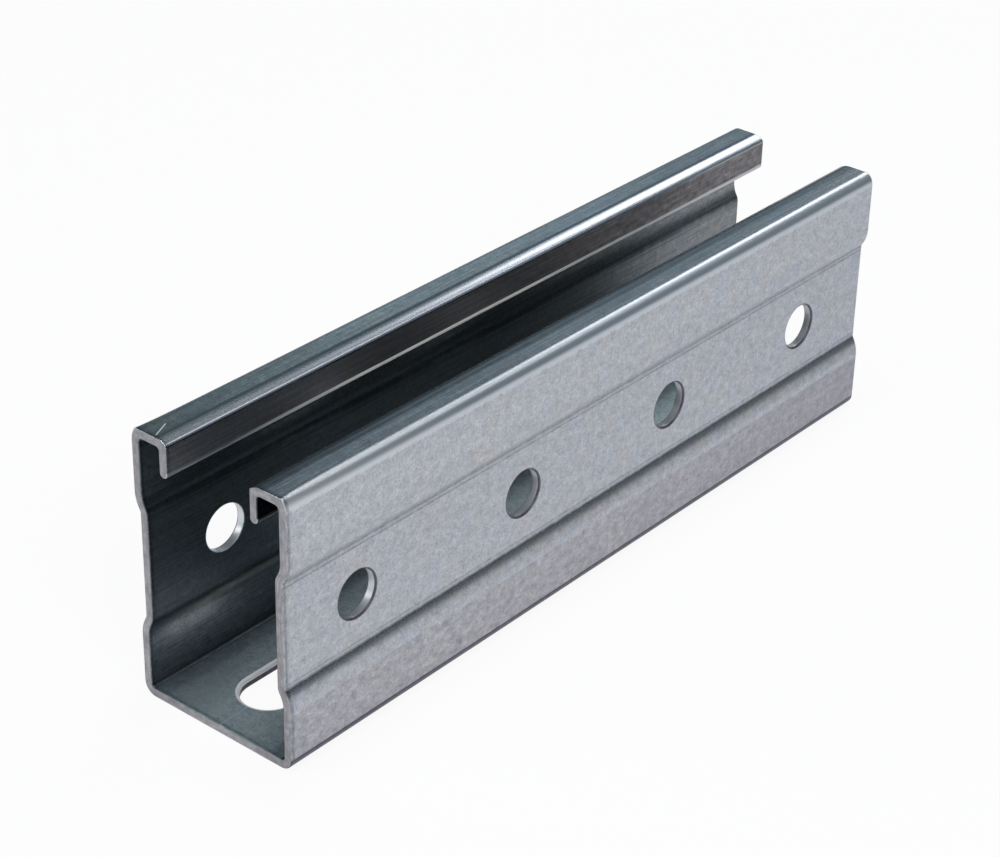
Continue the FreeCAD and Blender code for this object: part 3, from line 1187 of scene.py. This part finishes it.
    def finish(self):
        """Roughness, relief, and where the metal is made less metallic: the dull base inside, the scratch and the
        painted glint.
        """
        n = self.nodes
        rough = n.math("ADD", n.times(n.spread(self.clouds, 0.3, 0.7, 0.09, 0.0), self.unbent), 0.27)
        for share, more in (
            (self.top_bend, 0.07),
            (self.lip_bend, 0.03),
            (self.pits, 0.08),
            (self.drawn, -0.09),
            (self.burr_and_highlight, 0.12),
            (self.lip_face, 0.18),
            (self.inner, 0.06),
            (self.in_base, 0.2),
        ):
            rough = n.math("ADD", rough, n.times(share, more))
        relief = None
        for height, distance, on_flats, on_bends in (
            (self.specks, 0.02 * MM, 0.5, 0.0),
            (self.mottle, 0.02 * MM, 0.4, 0.0),
            (self.streaks, 0.004 * MM, 0.5, 0.12),
        ):
            strength = n.spread(self.bend, 0.0, 1.0, on_flats, on_bends)
            relief = n.bump(height, distance, strength, relief)
        dull_base = n.times(self.in_base, n.spread(self.along, 4.0 * MM, 60.0 * MM), 0.65)
        dulled = n.math("MAXIMUM", n.math("MAXIMUM", dull_base, self.scratch), self.glint)
        n.metal(self.base, rough, relief, n.spread(dulled, 0.0, 1.0, 1.0, 0.0))


class CutFinish(NamedTuple):
    """Finish of a bare cut, scratched in one direction, its roughness from smooth to dull."""

    name: str
    colour: str
    scratch: tuple
    contrast: float
    smooth: float
    dull: float
    height: float
    metallic: float = 1.0


# In the order of the finish numbers, after the coat
CUT_FINISHES = (
    CutFinish("sawn_end", "cut_steel", (300.0, 300.0, 2500.0), 0.40, 0.38, 0.55, 0.02 * MM),
    CutFinish("punched_wall", "punched_steel", (1500.0, 1500.0, 150.0), 0.08, 0.34, 0.42, 0.001 * MM, 0.8),
    CutFinish("shaded_rolled_edge", "shaded_rolled_edge", (900.0, 900.0, 900.0), 0.35, 0.40, 0.50, 0.004 * MM, 0.6),
    CutFinish("slot_edge", "rubbed_and_highlight_zinc", (60.0, 1800.0, 900.0), 0.12, 0.35, 0.45, 0.002 * MM, 0.2),
    CutFinish("slot_wall", "shaded_slot_steel", (1500.0, 1500.0, 150.0), 0.40, 0.40, 0.60, 0.004 * MM),
)


def cut_material(finish, tint):
    """Material of one bare cut."""
    material = blank_material(finish.name)
    n = Nodes(material)
    blotches = n.noise(n.unrolled(EVEN), 0.6, 4.0)
    lines = n.noise(n.unrolled(finish.scratch), 1.0)
    darker = tuple(channel * (1.0 - finish.contrast) for channel in tint)
    base = n.mix(n.spread(lines, 0.35, 0.7), tint, darker)
    base = n.mix(n.times(n.spread(blotches, 0.42, 0.62), 0.6), base, darker)
    rough = n.spread(blotches, 0.3, 0.7, finish.smooth, finish.dull)
    n.metal(base, rough, n.bump(lines, finish.height, 0.5), finish.metallic)
    return material


# Operators
class STRUT_OT_channel(bpy.types.Operator):
    """Forms the zinc-coated channel with its punched openings and sawn ends"""

    bl_idname = "strut.channel"
    bl_label = "Form the channel"

    def execute(self, context):
        sizes = context.scene.channel_sizes
        colours = context.scene.zinc_colours
        mesh, section = channel_mesh(sizes)
        coat = ZincCoat(colours, section, sizes.channel_length / 2, sizes.section_width / 2)
        mesh.materials.append(coat.material)
        for finish in CUT_FINISHES:
            mesh.materials.append(cut_material(finish, tuple(getattr(colours, finish.colour))))
        channel = bpy.data.objects.new("channel", mesh)
        context.collection.objects.link(channel)
        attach(channel, "root")
        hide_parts(NODE)
        return {"FINISHED"}


LAMP_TARGET = Vector((0.0, 0.0, 0.03))
WHITE = (1.0, 1.0, 1.0)


class Lamp(NamedTuple):
    """A soft lamp: its place and size, the setting it takes a share of, and its colour.

    Its first side lies along the given direction, or level where none is given.
    """

    name: str
    place: tuple
    size: tuple
    setting: str
    share: float = 1.0
    tint: tuple = WHITE
    along: tuple = None


LAMPS = (
    Lamp("near_strip", (1.04, -0.58, 1.3), (0.84, 0.26), "strip_strength", along=(0.15, 1.0, 0.0)),
    Lamp("far_strip", (1.51, 0.39, 1.28), (0.87, 0.34), "strip_strength", 1.4, along=(1.0, 1.0, 0.0)),
    Lamp("facet_lamp", (1.60, 0.07, 1.22), (0.32, 0.52), "strip_strength", 0.75, along=(0.0, 1.0, 0.0)),
    Lamp("top_lamp", (0.0, 0.0, 1.9), (0.8, 0.5), "top_strength", along=(1.0, 0.0, 0.0)),
    Lamp("back_lamp", (-1.35, 1.13, 0.62), (1.2, 0.7), "back_strength"),
    Lamp("front_lamp", (-1.0, -1.5, 1.7), (1.6, 1.2), "front_strength"),
    Lamp("back_panel", (1.92, 1.42, 1.2), (1.15, 0.9), "panel_strength", tint=(0.72, 0.92, 1.0)),
    Lamp("side_panel", (1.6, -1.15, 0.8), (1.5, 0.9), "panel_strength", 0.6, tint=(0.84, 0.92, 1.0)),
)


def hang_lamp(context, kind, strength):
    """Hangs a lamp so that it faces the channel; strength is its brightness as seen."""
    lamp = bpy.data.lights.new(kind.name, "AREA")
    lamp.shape = "RECTANGLE"
    lamp.size, lamp.size_y = kind.size
    lamp.energy = strength * kind.size[0] * kind.size[1] * math.pi
    lamp.color = kind.tint
    stand = bpy.data.objects.new(kind.name, lamp)
    back = (Vector(kind.place) - LAMP_TARGET).normalized()
    level = Vector(kind.along) if kind.along else Vector((0.0, 0.0, 1.0)).cross(back)
    up = back.cross(level).normalized()
    turn = Matrix((up.cross(back), up, back)).transposed()
    stand.matrix_world = Matrix.Translation(kind.place) @ turn.to_4x4()
    context.collection.objects.link(stand)


FLOOR_HALF = 3.0
FLOOR_CELLS = 8
FLOOR_WHITE = 0.9
FLOOR_SHEEN = 0.35
FLOOR_TOOTH = 0.985


def floor_material(tint):
    """Matt paper with a faint tooth."""
    material = blank_material("floor_paper")
    n = Nodes(material)
    tooth = n.noise(n.new("ShaderNodeTexCoord").outputs["Object"], 900.0)
    shader = n.new("ShaderNodeBsdfPrincipled")
    base = n.mix(n.spread(tooth, 0.3, 0.7), tint, tuple(channel * FLOOR_TOOTH for channel in tint))
    n.feed(shader.inputs["Base Color"], base)
    shader.inputs["Roughness"].default_value = 0.95
    shader.inputs["Specular IOR Level"].default_value = 0.1
    paths = n.new("ShaderNodeLightPath").outputs
    mirrored = n.math("MAXIMUM", paths["Is Glossy Ray"], paths["Is Transmission Ray"])
    seen = n.math("MULTIPLY", paths["Is Camera Ray"], FLOOR_WHITE)
    seen = n.math("MAXIMUM", seen, n.math("MULTIPLY", mirrored, FLOOR_SHEEN))
    glow = n.new("ShaderNodeEmission")
    n.feed(glow.inputs["Color"], WHITE)
    n.show(n.blend(seen, shader, glow), "ShaderNodeOutputMaterial")
    return material


def room_world(tint):
    """A dim room that looks white to the camera."""
    world = bpy.data.worlds.new("studio_room")
    world.use_nodes = True
    n = Nodes(world)
    seen = n.new("ShaderNodeLightPath").outputs["Is Camera Ray"]
    dim, white = n.new("ShaderNodeBackground"), n.new("ShaderNodeBackground")
    n.feed(dim.inputs["Color"], tint)
    n.feed(white.inputs["Color"], WHITE)
    n.show(n.blend(seen, dim, white), "ShaderNodeOutputWorld")
    return world


# Camera at the viewing angle of the picture
CAMERA_PLACE = (-0.387904, -0.311383, 0.31591)
CAMERA_YAW = math.radians(37.1639)
CAMERA_PITCH = math.radians(-29.602)
CAMERA_ROLL = math.radians(2.5498)
CAMERA_LENS = 94.85
CAMERA_SENSOR = 36.0
CAMERA_SHIFT = (-0.1, -0.02125)
CAMERA_CLIP = 0.01


class STRUT_OT_studio(bpy.types.Operator):
    """Lays the floor, hangs the soft lamps and sets up the camera"""

    bl_idname = "strut.studio"
    bl_label = "Set up the studio"

    def execute(self, context):
        studio = context.scene.studio_settings
        mesh = bpy.data.meshes.new("floor")
        work = bmesh.new()
        bmesh.ops.create_grid(work, x_segments=FLOOR_CELLS, y_segments=FLOOR_CELLS, size=FLOOR_HALF)
        work.to_mesh(mesh)
        work.free()
        mesh.materials.append(floor_material(tuple(studio.floor_colour)))
        floor = bpy.data.objects.new("floor", mesh)
        context.collection.objects.link(floor)
        context.scene.world = room_world(tuple(studio.room_colour))
        for lamp in LAMPS:
            hang_lamp(context, lamp, getattr(studio, lamp.setting) * lamp.share)
        self.add_camera(context)
        context.scene.view_settings.view_transform = "Standard"
        return {"FINISHED"}

    def add_camera(self, context):
        """Sets up the camera."""
        camera = bpy.data.cameras.new("camera")
        camera.sensor_width = CAMERA_SENSOR
        camera.lens = CAMERA_LENS
        camera.shift_x, camera.shift_y = CAMERA_SHIFT
        camera.clip_start = CAMERA_CLIP
        reach = math.cos(CAMERA_PITCH)
        ahead = Vector((math.cos(CAMERA_YAW) * reach, math.sin(CAMERA_YAW) * reach, math.sin(CAMERA_PITCH)))
        level = ahead.cross(Vector((0.0, 0.0, 1.0))).normalized()
        above = level.cross(ahead)
        right = level * math.cos(CAMERA_ROLL) + above * math.sin(CAMERA_ROLL)
        up = above * math.cos(CAMERA_ROLL) - level * math.sin(CAMERA_ROLL)
        stand = bpy.data.objects.new("camera", camera)
        turn = Matrix((right, up, -ahead)).transposed()
        stand.matrix_world = Matrix.Translation(CAMERA_PLACE) @ turn.to_4x4()
        context.collection.objects.link(stand)
        context.scene.camera = stand


class STRUT_PT_panel(bpy.types.Panel):
    """Lists the operators and the sizes."""

    bl_label = "Strut Channel"
    bl_idname = "STRUT_PT_panel"
    bl_space_type = "VIEW_3D"
    bl_region_type = "UI"
    bl_category = "Strut Channel"

    def draw(self, context):
        layout = self.layout
        for operator in OPERATORS:
            layout.operator(operator.bl_idname)
        for group in (context.scene.channel_sizes, context.scene.zinc_colours, context.scene.studio_settings):
            box = layout.box()
            for name in group.bl_rna.properties.keys():
                if name not in ("rna_type", "name"):
                    box.prop(group, name)


OPERATORS = (STRUT_OT_channel, STRUT_OT_studio)
CLASSES = (ChannelSizes, ZincColours, StudioSettings, *OPERATORS, STRUT_PT_panel)


def register():
    """Registers every class and the settings on the scene."""
    for each in CLASSES:
        bpy.utils.register_class(each)
    bpy.types.Scene.channel_sizes = bpy.props.PointerProperty(type=ChannelSizes)
    bpy.types.Scene.zinc_colours = bpy.props.PointerProperty(type=ZincColours)
    bpy.types.Scene.studio_settings = bpy.props.PointerProperty(type=StudioSettings)


def unregister():
    """Takes everything off again."""
    del bpy.types.Scene.studio_settings
    del bpy.types.Scene.zinc_colours
    del bpy.types.Scene.channel_sizes
    for each in reversed(CLASSES):
        bpy.utils.unregister_class(each)


def main():
    """Makes the channel and the studio."""
    register()
    bpy.ops.strut.channel()
    bpy.ops.strut.studio()


if __name__ == "__main__":
    main()
